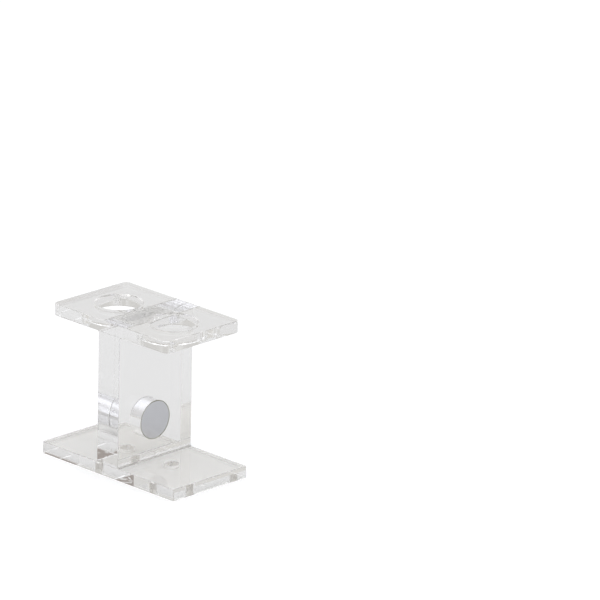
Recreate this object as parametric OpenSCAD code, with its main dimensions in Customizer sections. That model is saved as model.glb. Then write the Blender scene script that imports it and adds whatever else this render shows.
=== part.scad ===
// Two-place magnetic stand for 1.5 ml microtubes.
// Three pieces of clear cast acrylic are cemented into an I: a base plate, an upright
// and a top plate. A disc magnet sits in a bore right through the upright. Each tube
// hangs by its collar in a hole of the top plate, runs down beside the upright past the
// magnet, and its tip stands in a small hole of the base plate.
// X runs along the two tubes, Y across the stand, Z up. The origin is the centre of
// the base plate's underside.

/* [Sheet] */
// Width of the strip that all three acrylic pieces are cut from
stand_width = 24.4; // [20:0.1:40]
// Thickness of the base plate
base_t = 3; // [2:0.5:6]
// Thickness of the top plate
top_t = 3; // [2:0.5:6]
// Arris taken off every open edge of the acrylic
edge_break = 0.1; // [0.05:0.05:0.2]

/* [Base plate] */
// Length of the base plate
base_length = 45.2; // [42:0.1:80]
// Radius of the base plate's corners
base_corner_r = 0.3; // [0.3:0.1:4]

/* [Top plate] */
// Length of the top plate
top_length = 39; // [36:0.1:80]
// Radius of the top plate's corners
top_corner_r = 1.4; // [0.3:0.1:4]

/* [Upright] */
// Thickness of the upright, which is the distance between the two tube bays
upright_t = 7.2; // [5:0.1:12]
// Height of the upright between the two plates
upright_h = 33; // [30:0.5:45]

/* [Tube holes] */
// Diameter of the holes that the tubes hang in
tube_hole_d = 11.4; // [11:0.1:12.4]
// Distance between the edge of a tube hole and the face of the upright
tube_wall_gap = 0.05; // [0.05:0.05:1]
// Countersink round both ends of a tube hole
tube_hole_break = 0.3; // [0.1:0.1:0.8]
// Diameter of the holes in the base plate for the tips of the tubes
tip_hole_d = 3.4; // [2:0.1:6]
// Countersink round both ends of a tip hole
tip_hole_break = 0.15; // [0.05:0.05:0.5]

/* [Magnet] */
// Diameter of the magnet
magnet_d = 9.5; // [6:0.1:14]
// Gap between the magnet and its bore, all round
magnet_fit = 0.1; // [0.05:0.05:0.3]
// Rounding of the magnet's edges
magnet_edge_r = 0.2; // [0.05:0.05:0.5]
// Distance of both magnet faces behind the faces of the upright
magnet_recess = 0; // [0:0.05:1]
// Height of the magnet's centre above the base plate
magnet_height = 9.6; // [8:0.1:20]

/* [Hidden] */
$fn = 96;
// Length by which a cut runs past the face that it opens
overcut = 1;
upright_z = base_t;
top_z = base_t + upright_h;
magnet_z = upright_z + magnet_height;
magnet_bore_d = magnet_d + 2 * magnet_fit;
magnet_length = upright_t - 2 * magnet_recess;
// Distance of the tubes' axes from the middle of the stand
tube_x = upright_t / 2 + tube_wall_gap + tube_hole_d / 2;

// Outline of a bar's end, with its four edges broken, centred in X and standing on Y = 0
module broken_section(width, height) {
    x = width / 2;
    e = edge_break;
    polygon([[-x + e, 0], [x - e, 0], [x, e], [x, height - e],
             [x - e, height], [-x + e, height], [-x, height - e], [-x, e]]);
}

// A bar that lies along X, with its four long edges broken
module bar(length, width, height) {
    rotate([90, 0, 90])
        translate([0, 0, -length / 2])
            linear_extrude(height = length)
                broken_section(width, height);
}

// Half of a round post's section, for turning, with both rims broken
module post_section(radius, height) {
    e = edge_break;
    polygon([[0, 0], [radius - e, 0], [radius, e], [radius, height - e], [radius - e, height], [0, height]]);
}

// A flat plate with round corners and broken edges
module sheet_plate(length, thickness, corner_r) {
    bar(length - 2 * corner_r, stand_width, thickness);
    rotate([0, 0, 90])
        bar(stand_width - 2 * corner_r, length, thickness);
    for (x = [-1, 1], y = [-1, 1])
        translate([x * (length / 2 - corner_r), y * (stand_width / 2 - corner_r), 0])
            rotate_extrude()
                post_section(corner_r, thickness);
}

// The space of a drilled hole through a plate, countersunk at both faces
module drilled_hole(diameter, thickness, sink) {
    radius = diameter / 2;
    translate([0, 0, -overcut])
        cylinder(h = thickness + 2 * overcut, r = radius);
    translate([0, 0, thickness - sink])
        cylinder(h = sink + overcut, r1 = radius, r2 = radius + sink + overcut);
    translate([0, 0, -overcut])
        cylinder(h = sink + overcut, r1 = radius + sink + overcut, r2 = radius);
}

// One copy of a child over each of the two tubes' axes
module at_tubes() {
    for (side = [-1, 1])
        translate([side * tube_x, 0, 0])
            children();
}

module base_plate() {
    color([0.90, 0.91, 0.90, 0.4])
        difference() {
            sheet_plate(base_length, base_t, base_corner_r);
            at_tubes()
                drilled_hole(tip_hole_d, base_t, tip_hole_break);
        }
}

module upright() {
    color([0.90, 0.90, 0.89, 0.4])
        translate([0, 0, upright_z])
            difference() {
                linear_extrude(height = upright_h)
                    translate([0, -stand_width / 2])
                        broken_section(upright_t, stand_width);
                translate([0, 0, magnet_height])
                    rotate([0, 90, 0])
                        cylinder(h = upright_t + 2 * overcut, d = magnet_bore_d, center = true);
            }
}

module top_plate() {
    color([0.90, 0.91, 0.90, 0.4])
        translate([0, 0, top_z])
            difference() {
                sheet_plate(top_length, top_t, top_corner_r);
                at_tubes()
                    drilled_hole(tube_hole_d, top_t, tube_hole_break);
            }
}

// Half of the magnet's section, for turning, with both edges rounded
module magnet_section() {
    radius = magnet_d / 2;
    r = magnet_edge_r;
    square([radius - r, magnet_length]);
    translate([0, r])
        square([radius, magnet_length - 2 * r]);
    for (y = [r, magnet_length - r])
        translate([radius - r, y])
            circle(r);
}

module magnet() {
    color([0.72, 0.72, 0.75])
        translate([-magnet_length / 2, 0, magnet_z])
            rotate([0, 90, 0])
                rotate_extrude()
                    magnet_section();
}

base_plate();
upright();
top_plate();
magnet();
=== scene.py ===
import math
import random
from collections import namedtuple

import bpy
from mathutils import Matrix, Vector


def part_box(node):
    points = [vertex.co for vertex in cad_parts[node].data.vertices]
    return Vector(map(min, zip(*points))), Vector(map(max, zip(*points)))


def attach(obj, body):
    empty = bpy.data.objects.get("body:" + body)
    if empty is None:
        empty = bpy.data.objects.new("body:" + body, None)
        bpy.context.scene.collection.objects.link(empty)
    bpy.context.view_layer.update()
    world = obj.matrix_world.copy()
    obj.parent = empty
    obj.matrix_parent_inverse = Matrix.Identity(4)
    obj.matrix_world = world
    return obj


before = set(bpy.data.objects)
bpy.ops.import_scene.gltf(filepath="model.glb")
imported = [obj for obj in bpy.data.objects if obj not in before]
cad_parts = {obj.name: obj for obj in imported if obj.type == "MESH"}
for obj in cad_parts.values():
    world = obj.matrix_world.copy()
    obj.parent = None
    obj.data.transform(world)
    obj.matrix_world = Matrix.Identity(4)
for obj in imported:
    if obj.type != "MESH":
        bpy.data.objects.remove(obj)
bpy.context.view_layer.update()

bl_info = {
    "name": "Magnetic stand for two tubes",
    "version": (1, 0, 0),
    "blender": (4, 5, 0),
    "location": "3D View > Sidebar > Magnetic Stand",
    "description": "Finishes a clear acrylic stand with a disc magnet in its upright, and sets its stage",
    "category": "Object",
}

MM = 0.001
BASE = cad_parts["base_plate"]
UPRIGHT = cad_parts["upright"]
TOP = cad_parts["top_plate"]
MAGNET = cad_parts["magnet"]


def node_box(name):
    """Lowest and highest corner of a CAD node, in metres."""
    low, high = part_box(name)
    return Vector(low), Vector(high)


BASE_LOW, BASE_HIGH = node_box("base_plate")
UP_LOW, UP_HIGH = node_box("upright")
TOP_LOW, TOP_HIGH = node_box("top_plate")
MAG_LOW, MAG_HIGH = node_box("magnet")
MAG_CENTRE = (MAG_LOW + MAG_HIGH) / 2
MAG_RADIUS = (MAG_HIGH.z - MAG_LOW.z) / 2
HALF_WIDTH = UP_HIGH.y
TUBE_X = 9.35 * MM
TUBE_HOLE_R = 5.7 * MM
TUBE_HOLE_SINK = 0.3 * MM
TIP_HOLE_R = 1.7 * MM
TIP_HOLE_SINK = 0.15 * MM
MAGNET_BORE_R = 4.85 * MM
MAGNET_EDGE_R = 0.2 * MM
EDGE_BREAK = 0.1 * MM
# Height above the magnet's centre down to which glue has run between magnet and bore
GLUE_LEVEL = 1.4 * MM
# Depth of the dish in the skin of glue, and the depth beyond which the glue is painted pale as a painted reflection
# of the plating
GLUE_DISH = 0.02 * MM
GLUE_PAINTED_MIRROR = 0.035 * MM
# Height of the drill's rings in the tip holes, and in the finer tube holes and magnet's bore
TIP_RINGS = 0.02 * MM
FINE_RINGS = 0.004 * MM
# Height of the saw marks as a share of the scratches' depth
SAW_SHARE = 0.4
# Depth within which a surface counts as a sawn edge
SKIN = 0.02 * MM
# Gap between the table and the base plate
TABLE_GAP = 0.02 * MM
# A distance too small to see, which keeps masks and pieces clear of each other
NEAR = 0.01 * MM
# Layer Weight's facing value at acrylic's critical angle of 42 degrees
CRITICAL_FACING = 0.26

# A drilled hole: its axis, centre, radius, countersink, roughness, height of its rings, and
# the share of the painted edge shade that its wall has
Hole = namedtuple("Hole", "axis centre radius sink roughness rings tint")

# Direction of the middle of a brighter or darker part of the room, its colour, and the
# cosines at which it is full and at which it has faded out
ROOM_SHADES = (
    ((0.0, 0.0, 1.0), (1.19, 1.20, 1.24), 0.50, 0.38),
    ((0.695, -0.71, 0.11), (0.60, 0.595, 0.59), 0.97, 0.925),
    ((-0.66, -0.68, 0.32), (0.70, 0.69, 0.67), 0.97, 0.80),
    ((-0.66, 0.68, 0.32), (0.68, 0.675, 0.665), 0.97, 0.85),
    ((0.66, 0.68, 0.32), (0.34, 0.30, 0.28), 0.99, 0.92),
)
ROOM_LOW = (0.80, 0.80, 0.795, 1)
# Azimuth, elevation and roll in degrees, the point looked at as a step right and up from
# the stand's middle, the distance from it, and the lens
CAMERA_ANGLES = (44.258, 18.664, 1.307)
CAMERA_MIDDLE = 20 * MM
CAMERA_AIM = (37.023 * MM, 20.703 * MM)
CAMERA_DISTANCE = 1525.891 * MM
CAMERA_LENS = 383.03


# ---------------------------------------------------------------- settings

class AcrylicSettings(bpy.types.PropertyGroup):
    tint: bpy.props.FloatVectorProperty(
        name="Tint", description="Colour that clear cast acrylic gives the light that passes a surface",
        subtype="COLOR", size=3, min=0, max=1, default=(0.985, 0.98, 0.968))
    index: bpy.props.FloatProperty(
        name="Refractive index", description="Refractive index of acrylic", default=1.49, min=1.3, max=1.7)
    scratch_height: bpy.props.FloatProperty(
        name="Scratch depth", description="Depth of the fine scratches on the faces",
        default=0.0012 * MM, min=0, max=0.1 * MM, unit="LENGTH", precision=6)
    # The edge colour is painted shade: a darker brownish colour on the scraped edges, countersinks and drilled
    # walls that stands for the dark room seen in them
    edge_painted_shade: bpy.props.FloatVectorProperty(
        name="Edge painted shade", description="Colour that the scraped edges and countersinks give the light",
        subtype="COLOR", size=3, min=0, max=1, default=(0.70, 0.68, 0.65))
    arris_roughness: bpy.props.FloatProperty(
        name="Arris roughness", description="Roughness of the scraped edges and countersinks",
        default=0.2, min=0, max=1)
    drilled_roughness: bpy.props.FloatProperty(
        name="Drilled roughness", description="Roughness of the walls that the drill left",
        default=0.07, min=0, max=1)
    bored_roughness: bpy.props.FloatProperty(
        name="Bored roughness", description="Roughness of the magnet's bore, which a sharp cutter left",
        default=0.16, min=0, max=1)
    shade: bpy.props.FloatProperty(
        name="Shade", description="Share of the lamps' light that each face keeps back", default=0.06, min=0, max=1)
    haze: bpy.props.FloatProperty(
        name="Handling haze", description="Roughness that handling leaves in patches",
        default=0.015, min=0, max=0.3)


class MagnetSettings(bpy.types.PropertyGroup):
    plating: bpy.props.FloatVectorProperty(
        name="Plating", description="Colour of the nickel plating",
        subtype="COLOR", size=3, min=0, max=1, default=(0.74, 0.745, 0.77))
    # The side colour is a painted highlight: a brighter, bluish copy of the same nickel on the magnet's round side
    side_painted_highlight: bpy.props.FloatVectorProperty(
        name="Side painted highlight", description="Colour of the brighter plating round the side",
        subtype="COLOR", size=3, min=0, max=1, default=(0.95, 0.953, 0.985))
    roughness: bpy.props.FloatProperty(
        name="Roughness", description="Roughness of the clean plating", default=0.2, min=0, max=1)
    wear: bpy.props.FloatProperty(
        name="Wear", description="How strongly rubbing and the edge show", default=0.5, min=0, max=1)
    glue_depth: bpy.props.FloatProperty(
        name="Glue depth", description="Thickness of the skin of glue at the bore's mouth",
        default=0.06 * MM, min=0.03 * MM, max=0.15 * MM, unit="LENGTH", precision=5)


class CementSettings(bpy.types.PropertyGroup):
    leg: bpy.props.FloatProperty(
        name="Bead leg", description="Width of the cement bead along each face it joins",
        default=0.34 * MM, min=0.1 * MM, max=1 * MM, unit="LENGTH", precision=5)
    unevenness: bpy.props.FloatProperty(
        name="Unevenness", description="How far the bead's open side wanders",
        default=0.03 * MM, min=0, max=0.3 * MM, unit="LENGTH", precision=5)
    bubbles: bpy.props.IntProperty(
        name="Bubbles", description="Air bubbles caught in the lower joint", default=13, min=0, max=60)
    pockets: bpy.props.IntProperty(
        name="Pockets", description="Flat air pockets in the lower joint", default=12, min=0, max=30)
    seed: bpy.props.IntProperty(
        name="Seed", description="Chooses the places of the bubbles", default=11, min=0)


class StageSettings(bpy.types.PropertyGroup):
    floor_colour: bpy.props.FloatVectorProperty(
        name="Floor", description="Colour of the table", subtype="COLOR", size=3, min=0, max=1,
        default=(0.60, 0.60, 0.597))
    # Painted light: a lighter table colour under the base plate, where the plate's shade falls
    floor_painted_light: bpy.props.FloatVectorProperty(
        name="Floor painted light under the stand", description="Colour of the table under the base plate", subtype="COLOR",
        size=3, min=0, max=1, default=(0.78, 0.78, 0.775))
    floor_seen: bpy.props.FloatProperty(
        name="Floor lift", description="Light added where the table is seen directly",
        default=0.42, min=0, max=1)
    floor_through: bpy.props.FloatProperty(
        name="Floor lift through acrylic", description="Light added where the table is seen through acrylic",
        default=0.14, min=0, max=1)
    room: bpy.props.FloatProperty(
        name="Room light", description="Strength of the soft light all round", default=1.0, min=0, max=2)
    lamp: bpy.props.FloatProperty(
        name="Lamp", description="Power of the soft lamp", default=1.0, min=0, max=50, unit="POWER")
    lamp_size: bpy.props.FloatProperty(
        name="Lamp size", description="Width of the soft lamp", default=0.5, min=0.1, max=3, unit="LENGTH")


# ---------------------------------------------------------------- node helpers

def put(tree, kind, settings=None, **sockets):
    """Add a node. Socket names have _ for a space, and a final digit counts from 0."""
    node = tree.nodes.new(kind)
    for key, value in (settings or {}).items():
        setattr(node, key, value)
    for key, value in sockets.items():
        feed(tree, node, key, value)
    return node


def feed(tree, node, key, value):
    """Link a socket or set a plain value on an input."""
    if key[0] == "i" and key[1:].isdigit():
        socket = node.inputs[int(key[1:])]
    else:
        socket = node.inputs[key.replace("_", " ")]
    if isinstance(value, bpy.types.NodeSocket):
        tree.links.new(value, socket)
    else:
        socket.default_value = value


def sums(tree, operation, *values):
    """The result of a Math node."""
    node = tree.nodes.new("ShaderNodeMath")
    node.operation = operation
    for i, value in enumerate(values):
        feed(tree, node, f"i{i}", value)
    return node.outputs[0]


def greatest(tree, *values):
    """The greatest of several values."""
    result = values[0]
    for value in values[1:]:
        result = sums(tree, "MAXIMUM", result, value)
    return result


def split(tree, vector):
    """The three parts of a vector."""
    node = put(tree, "ShaderNodeSeparateXYZ", i0=vector)
    return node.outputs[0], node.outputs[1], node.outputs[2]


def ramp(tree, value, low, high, to_low=0.0, to_high=1.0, smooth=True):
    """A value moved from one range to another."""
    node = put(tree, "ShaderNodeMapRange", {"interpolation_type": "SMOOTHSTEP" if smooth else "LINEAR"},
               Value=value, From_Min=low, From_Max=high, To_Min=to_low, To_Max=to_high)
    return node.outputs[0]


def new_group(name, inputs, outputs):
    """An empty shader node group with its named sockets. Gives the tree, its inputs and its end."""
    tree = bpy.data.node_groups.new(name, "ShaderNodeTree")
    for label, kind, default in inputs:
        socket = tree.interface.new_socket(label, in_out="INPUT", socket_type=kind)
        if default is not None:
            socket.default_value = default
    for label, kind in outputs:
        tree.interface.new_socket(label, in_out="OUTPUT", socket_type=kind)
    start = tree.nodes.new("NodeGroupInput")
    end = tree.nodes.new("NodeGroupOutput")
    return tree, {s.name: s for s in start.outputs if s.name}, end


def use(tree, group_name, **sockets):
    """Place a node group in a tree."""
    node = tree.nodes.new("ShaderNodeGroup")
    node.node_tree = bpy.data.node_groups[group_name]
    for key, value in sockets.items():
        feed(tree, node, key, value)
    return node


FLOAT, VECTOR = "NodeSocketFloat", "NodeSocketVector"


# ---------------------------------------------------------------- node groups

def group_broken_arris():
    """Mask of the narrow flats along a sheet's edges."""
    tree, given, end = new_group(
        "Broken Arris",
        [("Position", VECTOR, None), ("Half Length", FLOAT, 0.02), ("Half Width", FLOAT, 0.01),
         ("Low", FLOAT, 0.0), ("High", FLOAT, 0.003), ("Width", FLOAT, 0.0001)],
        [("Mask", FLOAT)])
    x, y, z = split(tree, given["Position"])
    from_x = sums(tree, "SUBTRACT", given["Half Length"], sums(tree, "ABSOLUTE", x))
    from_y = sums(tree, "SUBTRACT", given["Half Width"], sums(tree, "ABSOLUTE", y))
    from_z = sums(tree, "MINIMUM", sums(tree, "SUBTRACT", z, given["Low"]),
                  sums(tree, "SUBTRACT", given["High"], z))
    edges = []
    for a, b in ((from_x, from_z), (from_y, from_z), (from_x, from_y)):
        edges.append(sums(tree, "LESS_THAN", sums(tree, "ADD", a, b), given["Width"]))
    tree.links.new(greatest(tree, *edges), end.inputs["Mask"])


def group_drilled_wall():
    """Mask of the wall and the countersinks of a drilled hole, from the place across its axis."""
    tree, given, end = new_group(
        "Drilled Wall",
        [("Across", VECTOR, None), ("Centre", VECTOR, None), ("Radius", FLOAT, 0.002)],
        [("Mask", FLOAT)])
    reach = put(tree, "ShaderNodeVectorMath", {"operation": "DISTANCE"}, i0=given["Across"], i1=given["Centre"])
    tree.links.new(sums(tree, "LESS_THAN", reach.outputs["Value"], given["Radius"]), end.inputs["Mask"])


def group_cement_joint():
    """Mask of the area where cement joins two pieces at a height, and of what lies within reach of it."""
    tree, given, end = new_group(
        "Cement Joint",
        [("Position", VECTOR, None), ("Half Length", FLOAT, 0.0035), ("Half Width", FLOAT, 0.012),
         ("Height", FLOAT, 0.003), ("Reach", FLOAT, 0.00001)],
        [("Mask", FLOAT)])
    x, y, z = split(tree, given["Position"])
    level = sums(tree, "ABSOLUTE", sums(tree, "SUBTRACT", z, given["Height"]))
    inside = sums(tree, "MULTIPLY",
                  sums(tree, "LESS_THAN", sums(tree, "ABSOLUTE", x), given["Half Length"]),
                  sums(tree, "LESS_THAN", sums(tree, "ABSOLUTE", y), given["Half Width"]))
    close = sums(tree, "LESS_THAN", level, given["Reach"])
    tree.links.new(sums(tree, "MULTIPLY", inside, close), end.inputs["Mask"])


def group_fine_scratches():
    """Short hairlines in two directions, as a mask that is also their height."""
    tree, given, end = new_group(
        "Fine Scratches",
        [("Position", VECTOR, None), ("Scale", FLOAT, 300.0), ("Amount", FLOAT, 0.5)],
        [("Mask", FLOAT)])
    lines = []
    for turn, stretch, share in (((0.4, 0.3, 0.9), 0.030, 0.7), ((1.2, 0.8, 2.3), 0.022, 0.6)):
        moved = put(tree, "ShaderNodeMapping", {"vector_type": "POINT"}, Vector=given["Position"],
                    Rotation=turn, Scale=(1.0, stretch, 1.0))
        cells = put(tree, "ShaderNodeTexVoronoi", {"feature": "F1"},
                    Vector=moved.outputs[0], Scale=given["Scale"], Randomness=1.0)
        thin = ramp(tree, cells.outputs["Distance"], 0.03, 0.07, 1.0, 0.0)
        chance = put(tree, "ShaderNodeSeparateColor", Color=cells.outputs["Color"])
        kept = sums(tree, "LESS_THAN", chance.outputs[0], sums(tree, "MULTIPLY", given["Amount"], share))
        lines.append(sums(tree, "MULTIPLY", thin, kept))
    tree.links.new(greatest(tree, *lines), end.inputs["Mask"])


def group_dust():
    """Sparse specks of dust and tiny chips."""
    tree, given, end = new_group(
        "Dust",
        [("Position", VECTOR, None), ("Scale", FLOAT, 500.0), ("Amount", FLOAT, 0.1)],
        [("Mask", FLOAT)])
    cells = put(tree, "ShaderNodeTexVoronoi", {"feature": "F1"}, Vector=given["Position"],
                Scale=given["Scale"], Randomness=1.0)
    chance = put(tree, "ShaderNodeSeparateColor", Color=cells.outputs["Color"])
    size = ramp(tree, chance.outputs[1], 0.0, 1.0, 0.05, 0.16, smooth=False)
    dot = sums(tree, "LESS_THAN", cells.outputs["Distance"], size)
    tree.links.new(sums(tree, "MULTIPLY", dot, sums(tree, "LESS_THAN", chance.outputs[0], given["Amount"])),
                   end.inputs["Mask"])


def group_glued_bore():
    """Mask of the part of the magnet's bore that glue fills, above a wandering line."""
    tree, given, end = new_group(
        "Glued Bore",
        [("Position", VECTOR, None), ("Level", FLOAT, 0.014), ("Wander", FLOAT, 0.0004)],
        [("Mask", FLOAT)])
    z = split(tree, given["Position"])[2]
    cloud = put(tree, "ShaderNodeTexNoise", Vector=given["Position"], Scale=900.0, Detail=2.0, Roughness=0.6)
    drift = sums(tree, "MULTIPLY", sums(tree, "SUBTRACT", cloud.outputs["Fac"], 0.5), given["Wander"])
    tree.links.new(sums(tree, "GREATER_THAN", sums(tree, "ADD", z, drift), given["Level"]), end.inputs["Mask"])


def group_handling():
    """Soft patches that handling leaves, from 0 to 1."""
    tree, given, end = new_group(
        "Handling",
        [("Position", VECTOR, None), ("Scale", FLOAT, 120.0), ("Cover", FLOAT, 0.5)],
        [("Mask", FLOAT)])
    cloud = put(tree, "ShaderNodeTexNoise", Vector=given["Position"], Scale=given["Scale"], Detail=2.0,
                Roughness=0.6)
    edge = sums(tree, "SUBTRACT", 0.8, sums(tree, "MULTIPLY", given["Cover"], 0.5))
    tree.links.new(ramp(tree, cloud.outputs["Fac"], edge, sums(tree, "ADD", edge, 0.18)), end.inputs["Mask"])


def group_tool_marks():
    """Fine parallel lines that the saw or the drill left, as a height from 0 to 1."""
    tree, given, end = new_group(
        "Tool Marks",
        [("Position", VECTOR, None), ("Stretch", VECTOR, None), ("Scale", FLOAT, 900.0)],
        [("Height", FLOAT)])
    run = put(tree, "ShaderNodeVectorMath", {"operation": "MULTIPLY"}, i0=given["Position"], i1=given["Stretch"])
    fine = put(tree, "ShaderNodeTexNoise", Vector=run.outputs[0], Scale=given["Scale"], Detail=1.0, Roughness=0.65)
    tree.links.new(fine.outputs["Fac"], end.inputs["Height"])


def make_groups():
    """Build each node group once."""
    for make in (group_broken_arris, group_drilled_wall, group_cement_joint, group_glued_bore, group_fine_scratches,
                 group_dust, group_handling, group_tool_marks):
        make()


# ---------------------------------------------------------------- materials

def new_material(name):
    """A node material. Gives it, its tree, its Principled BSDF and the Object coordinates."""
    material = bpy.data.materials.new(name)
    material.use_nodes = True
    tree = material.node_tree
    shader = tree.nodes["Principled BSDF"]
    place = tree.nodes.new("ShaderNodeTexCoord").outputs["Object"]
    return material, tree, shader, place


def lets_light_by(tree, shade):
    """Alpha that lets the lamps' light through a clear piece, apart from a slight shade."""
    shadow = tree.nodes.new("ShaderNodeLightPath").outputs["Is Shadow Ray"]
    return ramp(tree, shadow, 0.0, 1.0, 1.0, shade, smooth=False)


def acrylic_material(name, half_length, low, high, hole, joints, scratch_scale, joint_reach=NEAR, bored=False):
    """Clear cast acrylic with scraped edges, a drilled wall, fine wear and open joints, with painted shade that
    darkens the edges, countersinks and drilled wall.
    """
    wish = bpy.context.scene.acrylic_settings
    bead = bpy.context.scene.cement_settings.leg
    material, tree, shader, place = new_material(name)
    x, y, z = split(tree, place)
    far_x, far_y = sums(tree, "ABSOLUTE", x), sums(tree, "ABSOLUTE", y)

    arris = use(tree, "Broken Arris", Position=place, Half_Length=half_length, Half_Width=HALF_WIDTH,
                Low=low, High=high, Width=EDGE_BREAK + NEAR).outputs[0]
    if hole.axis == "Z":
        across = put(tree, "ShaderNodeCombineXYZ", X=far_x, Y=y).outputs[0]
    else:
        across = put(tree, "ShaderNodeCombineXYZ", Y=y, Z=z).outputs[0]
    wall = use(tree, "Drilled Wall", Across=across, Centre=hole.centre,
               Radius=hole.radius + hole.sink + NEAR).outputs[0]
    scraped = arris
    # Painted shade: the arrises, the drilled wall by its hole's share and the countersink rims pass light through
    # the darker edge colour
    painted_shade_parts = [sums(tree, "MULTIPLY", arris, 0.25 if bored else 1.0), sums(tree, "MULTIPLY", wall, hole.tint)]
    if hole.sink:
        bore = use(tree, "Drilled Wall", Across=across, Centre=hole.centre, Radius=hole.radius + NEAR).outputs[0]
        height = sums(tree, "ABSOLUTE", sums(tree, "SUBTRACT", z, (low + high) / 2))
        sunk = sums(tree, "SUBTRACT", 1.0, sums(tree, "GREATER_THAN", height, (high - low) / 2 - NEAR))
        rim = sums(tree, "MULTIPLY", sums(tree, "SUBTRACT", wall, bore), sunk)
        scraped = greatest(tree, arris, rim)
        painted_shade_parts.append(rim)

    joint = greatest(tree, *[use(tree, "Cement Joint", Position=place, Half_Length=UP_HIGH.x + bead - NEAR,
                                 Half_Width=HALF_WIDTH - EDGE_BREAK - NEAR, Height=level,
                                 Reach=joint_reach).outputs[0] for level in joints])
    if bored:
        glued = use(tree, "Glued Bore", Position=place, Level=MAG_CENTRE.z + GLUE_LEVEL).outputs[0]
        joint = greatest(tree, joint, sums(tree, "MULTIPLY", wall, glued))
    tree.links.new(sums(tree, "MULTIPLY", sums(tree, "SUBTRACT", 1.0, joint), lets_light_by(tree, wish.shade)),
                   shader.inputs["Alpha"])

    specks = use(tree, "Dust", Position=place, Scale=420.0, Amount=0.06).outputs[0]
    handled = use(tree, "Handling", Position=place, Scale=130.0, Cover=0.35).outputs[0]
    rough = greatest(tree, sums(tree, "MULTIPLY", handled, wish.haze), sums(tree, "MULTIPLY", specks, 0.25),
                     sums(tree, "MULTIPLY", wall, hole.roughness),
                     sums(tree, "MULTIPLY", scraped, wish.arris_roughness))
    tree.links.new(rough, shader.inputs["Roughness"])

    scratches = use(tree, "Fine Scratches", Position=place, Scale=scratch_scale, Amount=0.35).outputs[0]
    marks = use(tree, "Tool Marks", Position=place, Stretch=(1.0, 1.0, 0.06), Scale=1500.0).outputs[0]
    rings = use(tree, "Tool Marks", Position=place, Stretch=(0.04, 0.04, 1.0), Scale=1500.0).outputs[0]
    cut = greatest(tree, sums(tree, "GREATER_THAN", far_x, half_length - SKIN),
                   sums(tree, "GREATER_THAN", far_y, HALF_WIDTH - SKIN))
    sawn = sums(tree, "MULTIPLY", sums(tree, "MULTIPLY", marks, cut), SAW_SHARE)
    turned = sums(tree, "MULTIPLY", sums(tree, "MULTIPLY", rings, wall), hole.rings / wish.scratch_height)
    height = sums(tree, "ADD", sums(tree, "SUBTRACT", sawn, scratches), turned)
    bump = put(tree, "ShaderNodeBump", Strength=1.0, Distance=wish.scratch_height, Height=height)
    tree.links.new(bump.outputs[0], shader.inputs["Normal"])

    # Mixes the acrylic's own tint with the painted shade of the darker edge colour
    tint = put(tree, "ShaderNodeMix", {"data_type": "RGBA"}, Factor=greatest(tree, *painted_shade_parts))
    tint.inputs[6].default_value = (*wish.tint, 1)
    tint.inputs[7].default_value = (*wish.edge_painted_shade, 1)
    tree.links.new(tint.outputs[2], shader.inputs["Base Color"])
    shader.inputs["Transmission Weight"].default_value = 1.0
    shader.inputs["IOR"].default_value = wish.index
    return material


def nickel_material():
    """Satin nickel plating with fine rubbing, pits and a worn edge, and a brighter bluish copy of it on the side as
    a painted highlight.
    """
    wish = bpy.context.scene.magnet_settings
    material, tree, shader, place = new_material("nickel_plating")
    x, y, z = split(tree, place)
    across = put(tree, "ShaderNodeCombineXYZ", Y=y, Z=z).outputs[0]
    reach = put(tree, "ShaderNodeVectorMath", {"operation": "DISTANCE"}, i0=across,
                i1=(0, 0, MAG_CENTRE.z)).outputs["Value"]
    rim = ramp(tree, reach, MAG_RADIUS - 0.35 * MM, MAG_RADIUS - 0.05 * MM)
    handled = use(tree, "Handling", Position=place, Scale=260.0, Cover=0.9).outputs[0]
    scratches = use(tree, "Fine Scratches", Position=place, Scale=620.0, Amount=0.6).outputs[0]
    pits = use(tree, "Dust", Position=place, Scale=1400.0, Amount=0.12).outputs[0]
    streaks = use(tree, "Tool Marks", Position=place, Stretch=(0.08, 1.0, 1.0), Scale=1600.0).outputs[0]

    dull = tuple(c * 0.86 for c in wish.plating)
    worn = sums(tree, "MULTIPLY", greatest(tree, sums(tree, "MULTIPLY", handled, 0.35),
                                           sums(tree, "MULTIPLY", rim, 0.8), pits), wish.wear)
    colour = put(tree, "ShaderNodeMix", {"data_type": "RGBA"}, Factor=worn)
    colour.inputs[6].default_value = (*wish.plating, 1)
    colour.inputs[7].default_value = (*dull, 1)
    # Painted highlight: the round side takes the brighter bluish colour in place of the plating
    side = sums(tree, "LESS_THAN", sums(tree, "ABSOLUTE", x), MAG_HIGH.x - 0.1 * MAGNET_EDGE_R)
    turned = put(tree, "ShaderNodeMix", {"data_type": "RGBA"}, Factor=side, i6=colour.outputs[2])
    turned.inputs[7].default_value = (*wish.side_painted_highlight, 1)
    tree.links.new(turned.outputs[2], shader.inputs["Base Color"])

    glued = use(tree, "Glued Bore", Position=place, Level=MAG_CENTRE.z + GLUE_LEVEL).outputs[0]
    rough = sums(tree, "ADD", wish.roughness, sums(tree, "MULTIPLY", handled, 0.06))
    rough = sums(tree, "ADD", rough, sums(tree, "MULTIPLY", sums(tree, "MULTIPLY", streaks, side),
                                          ramp(tree, glued, 0.0, 1.0, -0.1, 0.08, smooth=False)))
    rough = sums(tree, "ADD", rough, sums(tree, "MULTIPLY", scratches, 0.1))
    tree.links.new(rough, shader.inputs["Roughness"])
    shader.inputs["Metallic"].default_value = 1.0

    height = sums(tree, "SUBTRACT", sums(tree, "MULTIPLY", sums(tree, "MULTIPLY", streaks, side), 0.5),
                  sums(tree, "ADD", sums(tree, "MULTIPLY", scratches, 0.7), pits))
    bump = put(tree, "ShaderNodeBump", Strength=1.0, Distance=0.002 * MM, Height=height)
    tree.links.new(bump.outputs[0], shader.inputs["Normal"])
    return material


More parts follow.
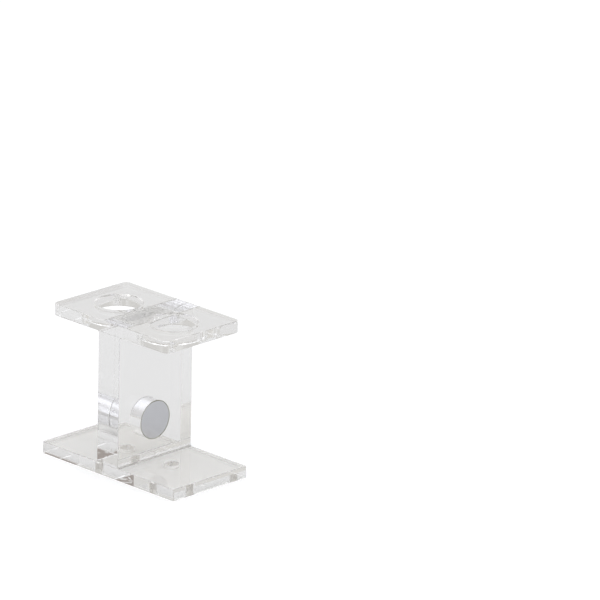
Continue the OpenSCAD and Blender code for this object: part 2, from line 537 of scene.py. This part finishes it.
def cement_material():
    """Set solvent cement: clear but darkened to grey as painted shade along each joint, faintly milky, with a wavy
    skin.
    """
    wish = bpy.context.scene.acrylic_settings
    material, tree, shader, place = new_material("acrylic_cement")
    ripples = put(tree, "ShaderNodeTexNoise", Vector=place, Scale=900.0, Detail=1.0, Roughness=0.4)
    handled = use(tree, "Handling", Position=place, Scale=700.0, Cover=0.8).outputs[0]
    specks = use(tree, "Dust", Position=place, Scale=2200.0, Amount=0.3).outputs[0]
    rough = sums(tree, "MULTIPLY", handled, 0.12)
    tree.links.new(sums(tree, "MAXIMUM", rough, sums(tree, "MULTIPLY", specks, 0.5)), shader.inputs["Roughness"])
    bump = put(tree, "ShaderNodeBump", Strength=1.0, Distance=0.0015 * MM, Height=ripples.outputs["Fac"])
    tree.links.new(bump.outputs[0], shader.inputs["Normal"])
    x, y, z = split(tree, place)
    joined = []
    for value, level in ((sums(tree, "ABSOLUTE", x), UP_HIGH.x), (z, UP_LOW.z), (z, UP_HIGH.z)):
        off = sums(tree, "ABSOLUTE", sums(tree, "SUBTRACT", value, level))
        joined.append(sums(tree, "LESS_THAN", off, NEAR))
    tree.links.new(sums(tree, "MULTIPLY", sums(tree, "SUBTRACT", 1.0, greatest(tree, *joined)),
                        lets_light_by(tree, wish.shade)), shader.inputs["Alpha"])
    # Painted shade: the dark grey colour darkens the light passing the bead, standing for the shadow line along the
    # joints
    shader.inputs["Base Color"].default_value = (0.42, 0.41, 0.38, 1)
    shader.inputs["Transmission Weight"].default_value = 1.0
    shader.inputs["IOR"].default_value = wish.index
    return material


def pocket_material():
    """The skin of air caught in clear cement: a mirror at a slant, and clear when looked at squarely."""
    material, tree, shader, place = new_material("air_pocket")
    ripples = put(tree, "ShaderNodeTexNoise", Vector=place, Scale=1800.0, Detail=2.0)
    bump = put(tree, "ShaderNodeBump", Strength=1.0, Distance=0.004 * MM, Height=ripples.outputs["Fac"])
    tree.links.new(bump.outputs[0], shader.inputs["Normal"])
    slant = put(tree, "ShaderNodeLayerWeight", Blend=0.5).outputs["Facing"]
    mirror = ramp(tree, slant, CRITICAL_FACING - 0.05, CRITICAL_FACING + 0.02, 0.08, 1.0)
    tree.links.new(sums(tree, "MULTIPLY", mirror, lets_light_by(tree, 0.1)), shader.inputs["Alpha"])
    shader.inputs["Base Color"].default_value = (0.95, 0.95, 0.945, 1)
    shader.inputs["Metallic"].default_value = 1.0
    shader.inputs["Roughness"].default_value = 0.02
    return material


def glue_material():
    """Amber-green adhesive that fills the mouth of the magnet's bore, painted pale on its inner side as a painted
    reflection of the plating.
    """
    material, tree, shader, place = new_material("magnet_glue")
    handled = use(tree, "Handling", Position=place, Scale=420.0, Cover=0.9).outputs[0]
    colour = put(tree, "ShaderNodeMix", {"data_type": "RGBA"}, Factor=handled)
    colour.inputs[6].default_value = (0.235, 0.235, 0.165, 1)
    colour.inputs[7].default_value = (0.36, 0.36, 0.29, 1)
    x = split(tree, place)[0]
    # Painted reflection: the ring's deeper side takes a pale colour that stands for the plating mirrored in it
    inward = sums(tree, "LESS_THAN", sums(tree, "ABSOLUTE", x), MAG_HIGH.x - GLUE_PAINTED_MIRROR)
    painted_mirror = put(tree, "ShaderNodeMix", {"data_type": "RGBA"}, Factor=inward, i6=colour.outputs[2])
    painted_mirror.inputs[7].default_value = (0.92, 0.92, 0.91, 1)
    tree.links.new(painted_mirror.outputs[2], shader.inputs["Base Color"])
    specks = use(tree, "Dust", Position=place, Scale=1900.0, Amount=0.3).outputs[0]
    tree.links.new(sums(tree, "ADD", 0.25, sums(tree, "MULTIPLY", specks, 0.4)), shader.inputs["Roughness"])
    ripples = put(tree, "ShaderNodeTexNoise", Vector=place, Scale=1500.0, Detail=3.0)
    bump = put(tree, "ShaderNodeBump", Strength=1.0, Distance=0.02 * MM, Height=ripples.outputs["Fac"])
    tree.links.new(bump.outputs[0], shader.inputs["Normal"])
    shader.inputs["IOR"].default_value = 1.5
    return material


def dress(piece, material):
    """Put one material in a piece's first slot."""
    if piece.data.materials:
        piece.data.materials[0] = material
    else:
        piece.data.materials.append(material)


# ---------------------------------------------------------------- modelling helpers

def clear_selection():
    """Leave edit mode and select nothing."""
    if bpy.context.object and bpy.context.object.mode != "OBJECT":
        bpy.ops.object.mode_set(mode="OBJECT")
    bpy.ops.object.select_all(action="DESELECT")


def name_piece(name):
    """Name the active object and its mesh."""
    piece = bpy.context.object
    piece.name = piece.data.name = name
    return piece


def settle():
    """Put the selected objects' place, turn and size into their meshes."""
    bpy.ops.object.transform_apply(location=True, rotation=True, scale=True)


def pick(piece, kind, test):
    """In edit mode, select the vertices, edges or faces whose middle passes the test."""
    bpy.ops.mesh.select_all(action="DESELECT")
    bpy.ops.object.mode_set(mode="OBJECT")
    mesh = piece.data
    if kind == "VERT":
        for v in mesh.vertices:
            v.select = test(v.co)
    elif kind == "EDGE":
        for e in mesh.edges:
            e.select = all(test(mesh.vertices[i].co) for i in e.vertices)
    else:
        for f in mesh.polygons:
            f.select = test(f.center)
    bpy.ops.object.mode_set(mode="EDIT")


def copy_turned(piece, name, axis, centre):
    """A copy with its own mesh, turned half a turn about an axis through a centre."""
    twin = piece.copy()
    twin.data = piece.data.copy()
    twin.name = twin.data.name = name
    bpy.context.scene.collection.objects.link(twin)
    turn = Matrix.Translation(centre) @ Matrix.Rotation(math.pi, 4, axis) @ Matrix.Translation(-centre)
    twin.data.transform(turn)
    return twin


# ---------------------------------------------------------------- operators

class STAND_OT_acrylic(bpy.types.Operator):
    """Give the two plates and the upright their clear acrylic."""
    bl_idname = "stand.acrylic"
    bl_label = "Acrylic"

    def execute(self, context):
        wish = context.scene.acrylic_settings
        bead = context.scene.cement_settings.leg
        # The last number of each hole is its share of the painted edge shade on its wall
        tube = Hole("Z", (TUBE_X, 0, 0), TUBE_HOLE_R, TUBE_HOLE_SINK, wish.drilled_roughness, FINE_RINGS, 0.4)
        tip = Hole("Z", (TUBE_X, 0, 0), TIP_HOLE_R, TIP_HOLE_SINK, wish.drilled_roughness, TIP_RINGS, 1.0)
        bore = Hole("X", (0, 0, MAG_CENTRE.z), MAGNET_BORE_R, 0, wish.bored_roughness, FINE_RINGS, 0.0)
        dress(BASE, acrylic_material("acrylic_base_plate", BASE_HIGH.x, BASE_LOW.z, BASE_HIGH.z, tip,
                                     [BASE_HIGH.z], scratch_scale=330.0))
        dress(UPRIGHT, acrylic_material("acrylic_upright", UP_HIGH.x, UP_LOW.z, UP_HIGH.z, bore,
                                        [UP_LOW.z, UP_HIGH.z], scratch_scale=290.0,
                                        joint_reach=bead - NEAR, bored=True))
        dress(TOP, acrylic_material("acrylic_top_plate", TOP_HIGH.x, TOP_LOW.z, TOP_HIGH.z, tube,
                                    [TOP_LOW.z], scratch_scale=360.0))
        return {"FINISHED"}


class STAND_OT_magnet(bpy.types.Operator):
    """Give the disc magnet its nickel plating."""
    bl_idname = "stand.magnet"
    bl_label = "Magnet"

    def execute(self, context):
        dress(MAGNET, nickel_material())
        return {"FINISHED"}


class STAND_OT_cement(bpy.types.Operator):
    """Run a thin bead of cement along each joint between the upright and a plate."""
    bl_idname = "stand.cement"
    bl_label = "Cement beads"

    def execute(self, context):
        wish = context.scene.cement_settings
        leg = wish.leg
        corner = Vector((UP_HIGH.x, 0, BASE_HIGH.z))
        length = 2 * HALF_WIDTH - 2 * EDGE_BREAK
        clear_selection()
        bpy.ops.mesh.primitive_cube_add(size=1, location=corner + Vector((leg / 2, 0, leg / 2)))
        bead = name_piece("cement_base_right")
        bead.scale = (leg, length, leg)
        settle()
        bpy.ops.object.mode_set(mode="EDIT")
        steps = 60
        for i in range(1, steps):
            bpy.ops.mesh.select_all(action="SELECT")
            bpy.ops.mesh.bisect(plane_co=(0, -length / 2 + length * i / steps, 0), plane_no=(0, 1, 0))
        pick(bead, "EDGE", lambda p: p.x > corner.x + 0.9 * leg and p.z > corner.z + 0.9 * leg)
        bpy.ops.mesh.bevel(offset=0.97 * leg, segments=5, profile=0.12, affect="EDGES")
        bpy.ops.mesh.select_all(action="SELECT")
        bpy.ops.mesh.remove_doubles(threshold=0.002 * MM)
        bpy.ops.mesh.normals_make_consistent(inside=False)
        bpy.ops.object.mode_set(mode="OBJECT")

        middle = Vector((0, 0, (BASE_HIGH.z + TOP_LOW.z) / 2))
        beads = [bead,
                 copy_turned(bead, "cement_base_left", "Z", Vector()),
                 copy_turned(bead, "cement_top_right", "X", middle)]
        beads.append(copy_turned(beads[1], "cement_top_left", "X", middle))
        waves = bpy.data.textures.new("cement_waves", "CLOUDS")
        waves.noise_scale = 3.0 * MM
        waves.noise_depth = 2
        material = cement_material()
        for piece in beads:
            free = piece.vertex_groups.new(name="open_side")
            for v in piece.data.vertices:
                off_wall = abs(abs(v.co.x) - UP_HIGH.x) > 0.01 * MM
                off_plate = min(abs(v.co.z - BASE_HIGH.z), abs(v.co.z - TOP_LOW.z)) > 0.01 * MM
                if off_wall and off_plate:
                    free.add([v.index], 1.0, "REPLACE")
            ripple = piece.modifiers.new("waves", "DISPLACE")
            ripple.texture = waves
            ripple.texture_coords = "GLOBAL"
            ripple.strength = wish.unevenness
            ripple.mid_level = 0.5
            ripple.vertex_group = "open_side"
            clear_selection()
            piece.select_set(True)
            context.view_layer.objects.active = piece
            bpy.ops.object.modifier_apply(modifier=ripple.name)
            bpy.ops.object.shade_smooth_by_angle(angle=math.radians(40))
            dress(piece, material)
            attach(piece, "root")
        return {"FINISHED"}


class STAND_OT_pockets(bpy.types.Operator):
    """Catch flat air pockets and small bubbles in the cement of the lower joint."""
    bl_idname = "stand.pockets"
    bl_label = "Air pockets"

    def execute(self, context):
        wish = context.scene.cement_settings
        material = pocket_material()
        dice = random.Random(wish.seed)
        height = BASE_HIGH.z
        drops = []
        for _ in range(wish.bubbles):
            size = dice.uniform(0.08, 0.2) * MM
            side = dice.choice((-1, 1))
            x = side * (UP_HIGH.x - dice.uniform(0.3, 1.3) * MM)
            y = dice.uniform(-0.95, 0.95) * HALF_WIDTH
            drops.append(self.pocket(context, (x, y, height), size, size * dice.uniform(1.0, 2.4),
                                     size * 0.5, dice.uniform(-0.5, 0.5)))
        for _ in range(wish.pockets):
            x = dice.uniform(-0.8, 0.8) * UP_HIGH.x
            y = dice.uniform(-0.9, 0.9) * HALF_WIDTH
            drops.append(self.pocket(context, (x, y, height), dice.uniform(0.25, 0.6) * MM,
                                     dice.uniform(0.8, 2.0) * MM, 0.03 * MM, dice.uniform(-0.9, 0.9)))
        clear_selection()
        for drop in drops:
            drop.select_set(True)
        context.view_layer.objects.active = drops[0]
        bpy.ops.object.join()
        piece = name_piece("air_pockets_base")
        settle()
        bpy.ops.object.shade_smooth()
        dress(piece, material)
        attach(piece, "root")
        return {"FINISHED"}

    def pocket(self, context, place, across, along, thick, turn):
        """One flat pocket: a ball that is drawn out, pinched at its middle and pressed flat."""
        clear_selection()
        bpy.ops.mesh.primitive_uv_sphere_add(segments=16, ring_count=8, radius=1)
        drop = context.object
        bpy.ops.object.mode_set(mode="EDIT")
        pick(drop, "VERT", lambda p: abs(p.y) < 0.35)
        bpy.ops.transform.resize(value=(0.72, 1, 1))
        bpy.ops.object.mode_set(mode="OBJECT")
        drop.scale = (across, along, thick)
        drop.rotation_euler = (0, 0, turn)
        drop.location = place
        settle()
        return drop


class STAND_OT_glue(bpy.types.Operator):
    """Fill both mouths of the magnet's bore with a ring of glue."""
    bl_idname = "stand.glue"
    bl_label = "Glue rings"

    def execute(self, context):
        depth = context.scene.magnet_settings.glue_depth
        outer = MAGNET_BORE_R - 0.5 * NEAR
        lip = MAG_RADIUS - MAGNET_EDGE_R
        centre = Vector((MAG_HIGH.x, 0, MAG_CENTRE.z))
        clear_selection()
        bpy.ops.mesh.primitive_cylinder_add(vertices=128, radius=outer, depth=depth,
                                            location=centre - Vector((depth / 2 + NEAR, 0, 0)),
                                            rotation=(0, math.radians(90), 0))
        ring = name_piece("glue_ring_right")
        settle()
        front, rear = centre.x - NEAR, centre.x - NEAR - depth

        def flat(x):
            return lambda p: abs(p.x - x) < 0.1 * NEAR and (p - centre).yz.length < NEAR

        bpy.ops.object.mode_set(mode="EDIT")
        pick(ring, "FACE", flat(front))
        bpy.ops.mesh.inset(thickness=(outer - lip) / 2)
        bpy.ops.transform.translate(value=(-GLUE_DISH, 0, 0))
        bpy.ops.mesh.inset(thickness=(outer - lip) / 2)
        bpy.ops.transform.translate(value=(GLUE_DISH, 0, 0))
        bpy.ops.mesh.delete(type="ONLY_FACE")
        pick(ring, "FACE", flat(rear))
        bpy.ops.mesh.inset(thickness=outer - lip)
        bpy.ops.mesh.delete(type="ONLY_FACE")
        bpy.ops.mesh.select_all(action="DESELECT")
        bpy.ops.mesh.select_non_manifold()
        bpy.ops.mesh.bridge_edge_loops()
        bpy.ops.mesh.select_all(action="SELECT")
        bpy.ops.mesh.normals_make_consistent(inside=False)
        bpy.ops.object.mode_set(mode="OBJECT")
        twin = copy_turned(ring, "glue_ring_left", "Z", Vector())
        material = glue_material()
        for piece in (ring, twin):
            clear_selection()
            piece.select_set(True)
            context.view_layer.objects.active = piece
            bpy.ops.object.shade_smooth_by_angle(angle=math.radians(40))
            dress(piece, material)
            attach(piece, "root")
        return {"FINISHED"}


class STAND_OT_stage(bpy.types.Operator):
    """Set the table, the soft light, the camera and the light paths that clear acrylic needs."""
    bl_idname = "stand.stage"
    bl_label = "Stage"

    def execute(self, context):
        self.floor(context)
        self.room(context)
        self.lamp(context)
        self.camera(context)
        context.scene.view_settings.view_transform = "Standard"
        cycles = context.scene.cycles
        cycles.max_bounces = 64
        cycles.glossy_bounces = 56
        cycles.transmission_bounces = 56
        cycles.transparent_max_bounces = 48
        cycles.diffuse_bounces = 4
        return {"FINISHED"}

    def floor(self, context):
        """A plain pale table that looks white where it is seen directly, with painted light: a lighter colour under
        the base plate.
        """
        wish = context.scene.stage_settings
        clear_selection()
        bpy.ops.mesh.primitive_plane_add(size=6, location=(0, 0, -TABLE_GAP))
        table = name_piece("table")
        settle()
        material, tree, shader, place = new_material("pale_table")
        x, y, z = split(tree, place)
        away = greatest(tree, sums(tree, "SUBTRACT", sums(tree, "ABSOLUTE", x), BASE_HIGH.x),
                        sums(tree, "SUBTRACT", sums(tree, "ABSOLUTE", y), HALF_WIDTH))
        # Painted light: the table under the base plate takes the lighter colour, fading to the plain colour just
        # outside it
        colour = put(tree, "ShaderNodeMix", {"data_type": "RGBA"}, Factor=ramp(tree, away, -0.5 * MM, 1.0 * MM))
        colour.inputs[6].default_value = (*wish.floor_painted_light, 1)
        colour.inputs[7].default_value = (*wish.floor_colour, 1)
        tree.links.new(colour.outputs[2], shader.inputs["Base Color"])
        shader.inputs["Roughness"].default_value = 0.7
        shader.inputs["Specular IOR Level"].default_value = 0.0
        shader.inputs["Emission Color"].default_value = (1, 1, 1, 1)
        rays = tree.nodes.new("ShaderNodeLightPath").outputs
        lift = sums(tree, "ADD", sums(tree, "MULTIPLY", rays["Is Camera Ray"], wish.floor_seen),
                    sums(tree, "MULTIPLY", rays["Is Transmission Ray"], wish.floor_through))
        tree.links.new(lift, shader.inputs["Emission Strength"])
        dress(table, material)

    def room(self, context):
        """A pale room, brighter overhead and darker low down on four sides, white to the camera."""
        wish = context.scene.stage_settings
        world = bpy.data.worlds.new("studio")
        context.scene.world = world
        world.use_nodes = True
        tree = world.node_tree
        background = tree.nodes["Background"]
        way = tree.nodes.new("ShaderNodeTexCoord").outputs["Generated"]
        shade = ROOM_LOW
        for middle, colour, near, far in ROOM_SHADES:
            lean = put(tree, "ShaderNodeVectorMath", {"operation": "DOT_PRODUCT"}, i0=way, i1=middle)
            spread = ramp(tree, lean.outputs["Value"], far, near)
            mix = put(tree, "ShaderNodeMix", {"data_type": "RGBA"}, Factor=spread)
            feed(tree, mix, "i6", shade)
            mix.inputs[7].default_value = (*colour, 1)
            shade = mix.outputs[2]
        rays = tree.nodes.new("ShaderNodeLightPath").outputs
        seen = put(tree, "ShaderNodeMix", {"data_type": "RGBA"}, Factor=rays["Is Camera Ray"], i6=shade)
        seen.inputs[7].default_value = (1, 1, 1, 1)
        tree.links.new(seen.outputs[2], background.inputs["Color"])
        background.inputs["Strength"].default_value = wish.room

    def lamp(self, context):
        """One large soft lamp, high in front."""
        wish = context.scene.stage_settings
        light = bpy.data.lights.new("soft_lamp", "AREA")
        light.shape = "DISK"
        light.size = wish.lamp_size
        light.energy = wish.lamp
        lamp = bpy.data.objects.new("soft_lamp", light)
        context.scene.collection.objects.link(lamp)
        lamp.location = (0.2, -0.55, 0.95)
        lamp.rotation_euler = (Vector((0, 0, 0.02)) - lamp.location).to_track_quat("-Z", "Y").to_euler()

    def camera(self, context):
        """A long lens from the right front, a little above the stand."""
        azimuth, elevation, roll = (math.radians(a) for a in CAMERA_ANGLES)
        back = Vector((math.sin(azimuth) * math.cos(elevation), -math.cos(azimuth) * math.cos(elevation),
                       math.sin(elevation)))
        level = Vector((math.cos(azimuth), math.sin(azimuth), 0))
        rise = back.cross(level)
        right = level * math.cos(roll) + rise * math.sin(roll)
        up = rise * math.cos(roll) - level * math.sin(roll)
        place = Vector((0, 0, CAMERA_MIDDLE)) + right * CAMERA_AIM[0] + up * CAMERA_AIM[1] + back * CAMERA_DISTANCE
        data = bpy.data.cameras.new("camera")
        data.sensor_width = 36
        data.lens = CAMERA_LENS
        data.clip_start = 0.01
        data.clip_end = 50
        camera = bpy.data.objects.new("camera", data)
        context.scene.collection.objects.link(camera)
        camera.matrix_world = Matrix(((right.x, up.x, back.x, place.x), (right.y, up.y, back.y, place.y),
                                      (right.z, up.z, back.z, place.z), (0, 0, 0, 1)))
        context.scene.camera = camera


class STAND_PT_panel(bpy.types.Panel):
    """The stand's steps and settings in the sidebar."""
    bl_idname = "STAND_PT_panel"
    bl_label = "Magnetic Stand"
    bl_space_type = "VIEW_3D"
    bl_region_type = "UI"
    bl_category = "Magnetic Stand"

    def draw(self, context):
        for settings, steps in PANEL_ROWS:
            box = self.layout.box()
            group = getattr(context.scene, settings)
            for key in group.bl_rna.properties.keys():
                if key not in {"rna_type", "name"}:
                    box.prop(group, key)
            for step in steps:
                box.operator(step.bl_idname)


PANEL_ROWS = (
    ("acrylic_settings", (STAND_OT_acrylic,)),
    ("magnet_settings", (STAND_OT_magnet, STAND_OT_glue)),
    ("cement_settings", (STAND_OT_cement, STAND_OT_pockets)),
    ("stage_settings", (STAND_OT_stage,)),
)
SETTINGS = {
    "acrylic_settings": AcrylicSettings,
    "magnet_settings": MagnetSettings,
    "cement_settings": CementSettings,
    "stage_settings": StageSettings,
}
CLASSES = (*SETTINGS.values(), STAND_OT_acrylic, STAND_OT_magnet, STAND_OT_glue, STAND_OT_cement,
           STAND_OT_pockets, STAND_OT_stage, STAND_PT_panel)


def register():
    for cls in CLASSES:
        bpy.utils.register_class(cls)
    for name, group in SETTINGS.items():
        setattr(bpy.types.Scene, name, bpy.props.PointerProperty(type=group))


def unregister():
    for name in SETTINGS:
        delattr(bpy.types.Scene, name)
    for cls in reversed(CLASSES):
        bpy.utils.unregister_class(cls)


def main():
    register()
    make_groups()
    bpy.ops.stand.acrylic()
    bpy.ops.stand.magnet()
    bpy.ops.stand.cement()
    bpy.ops.stand.pockets()
    bpy.ops.stand.glue()
    bpy.ops.stand.stage()


if __name__ == "__main__":
    main()
